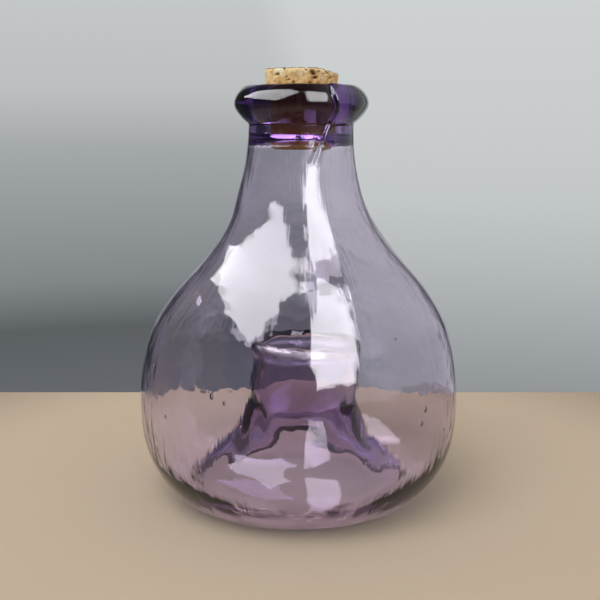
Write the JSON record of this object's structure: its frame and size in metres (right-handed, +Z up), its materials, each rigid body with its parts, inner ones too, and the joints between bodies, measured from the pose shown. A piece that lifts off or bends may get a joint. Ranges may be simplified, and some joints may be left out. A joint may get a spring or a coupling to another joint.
{
  "type": "glass fly trap bottle",
  "caption": "Hand-blown amethyst glass fly trap: onion-shaped bottle with an open chimney pushed up from its base, a thick applied lip and a tapered cork that pulls out.",
  "frame": {"origin": "centre of the ring that the bottle stands on, at the bottom", "axes": "+Z up along the bottle's axis; -Y towards the picture's viewer; +X to their right"},
  "size_m": [0.1342, 0.1342, 0.1758],
  "materials": {
    "amethyst_glass": "clear, fire-polished, sun-purpled soda-lime glass",
    "natural_cork": "matt natural cork with dark lenticels"
  },
  "bodies": {
    "bottle": {"bottle_body": "amethyst_glass", "entry_chimney": "amethyst_glass", "applied_lip": "amethyst_glass"},
    "cork": {"cork_stopper": "natural_cork"}
  },
  "joints": [
    {"name": "cork_pull", "type": "slide", "parent": "bottle", "child": "cork", "axis": [0, 0, 1], "range_m": [0, 0.04]}
  ]
}
